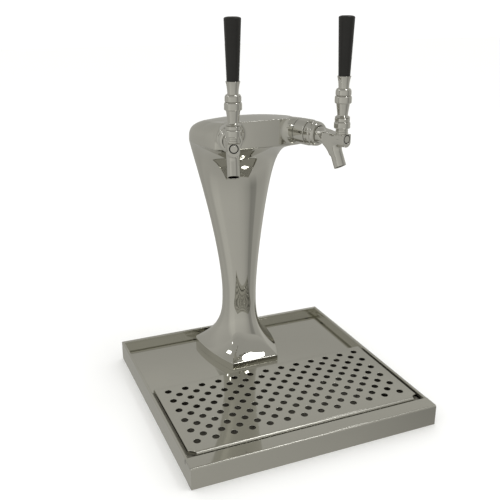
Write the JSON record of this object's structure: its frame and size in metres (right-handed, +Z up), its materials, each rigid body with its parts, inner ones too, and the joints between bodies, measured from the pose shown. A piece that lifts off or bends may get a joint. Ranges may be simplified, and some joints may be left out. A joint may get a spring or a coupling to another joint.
{
  "type": "draft beer tower",
  "caption": "Counter-top draft beer tower: a flared steel column with splayed lever taps, on a square drip tray with a lift-out perforated grille and pan.",
  "frame": {"origin": "centre of the drip tray's underside, on the counter", "axes": "+X to the right seen from the front, +Y to the back, +Z up; the taps face -Y"},
  "size_m": [0.3556, 0.3556, 0.5385],
  "materials": {
    "polished_steel": "polished",
    "satin_steel": "satin",
    "plain_steel": "satin",
    "black_rubber": "matte",
    "dark_foam": "matte",
    "clear_tube": "satin",
    "black_grip": "satin"
  },
  "bodies": {
    "tower": {"tray_frame": "polished_steel", "tower_deck": "polished_steel", "backing_plate": "plain_steel", "base_seal": "black_rubber", "base_bolts": "plain_steel", "base_washers": "plain_steel", "line_grommet": "black_rubber", "tower_column": "polished_steel", "foot_bars": "plain_steel", "insulation_sleeve": "dark_foam", "beer_tube_left": "clear_tube", "beer_tube_right": "clear_tube", "line_tail_left": "clear_tube", "line_tail_right": "clear_tube", "shank_seal_left": "black_rubber", "shank_seal_right": "black_rubber", "shank_left": "plain_steel", "shank_right": "plain_steel", "shank_collar_left": "polished_steel", "shank_collar_right": "polished_steel", "coupling_nut_left": "polished_steel", "coupling_nut_right": "polished_steel", "faucet_body_left": "polished_steel", "faucet_body_right": "polished_steel", "front_plug_left": "polished_steel", "front_plug_right": "polished_steel", "rod_seal_left": "black_rubber", "rod_seal_right": "black_rubber", "bonnet_left": "polished_steel", "bonnet_right": "polished_steel"},
    "pan": {"drip_pan": "satin_steel"},
    "grille": {"drip_grille": "polished_steel"},
    "lever_left": {"lever_left": "polished_steel", "handle_locknut_left": "polished_steel", "handle_ferrule_left": "polished_steel", "handle_grip_left": "black_grip"},
    "valve_left": {"valve_rod_left": "plain_steel", "valve_washer_left": "black_rubber"},
    "lever_right": {"lever_right": "polished_steel", "handle_locknut_right": "polished_steel", "handle_ferrule_right": "polished_steel", "handle_grip_right": "black_grip"},
    "valve_right": {"valve_rod_right": "plain_steel", "valve_washer_right": "black_rubber"}
  },
  "joints": [
    {"name": "pan_lift", "type": "slide", "parent": "tower", "child": "pan", "axis": [0, 0, 1], "range_m": [0, 0.1]},
    {"name": "grille_lift", "type": "slide", "parent": "pan", "child": "grille", "axis": [0, 0, 1], "range_m": [0, 0.06]},
    {"name": "tap_left", "type": "hinge", "parent": "tower", "child": "lever_left", "pos_m": [-0.07497, -0.0643, 0.4051], "axis": [0.9516, -0.3074, 0], "range_deg": [0, 24]},
    {"name": "valve_left", "type": "slide", "parent": "tower", "child": "valve_left", "axis": [0.3074, 0.9516, 0], "range_m": [0, 0.0062]},
    {"name": "tap_right", "type": "hinge", "parent": "tower", "child": "lever_right", "pos_m": [0.07497, -0.0643, 0.4051], "axis": [0.9516, 0.3074, 0], "range_deg": [0, 24]},
    {"name": "valve_right", "type": "slide", "parent": "tower", "child": "valve_right", "axis": [-0.3074, 0.9516, 0], "range_m": [0, 0.0062]}
  ],
  "couplings": [
    {"joint": "valve_left", "follows": "tap_left", "m_per_rad": 0.0146},
    {"joint": "valve_right", "follows": "tap_right", "m_per_rad": 0.0146}
  ]
}
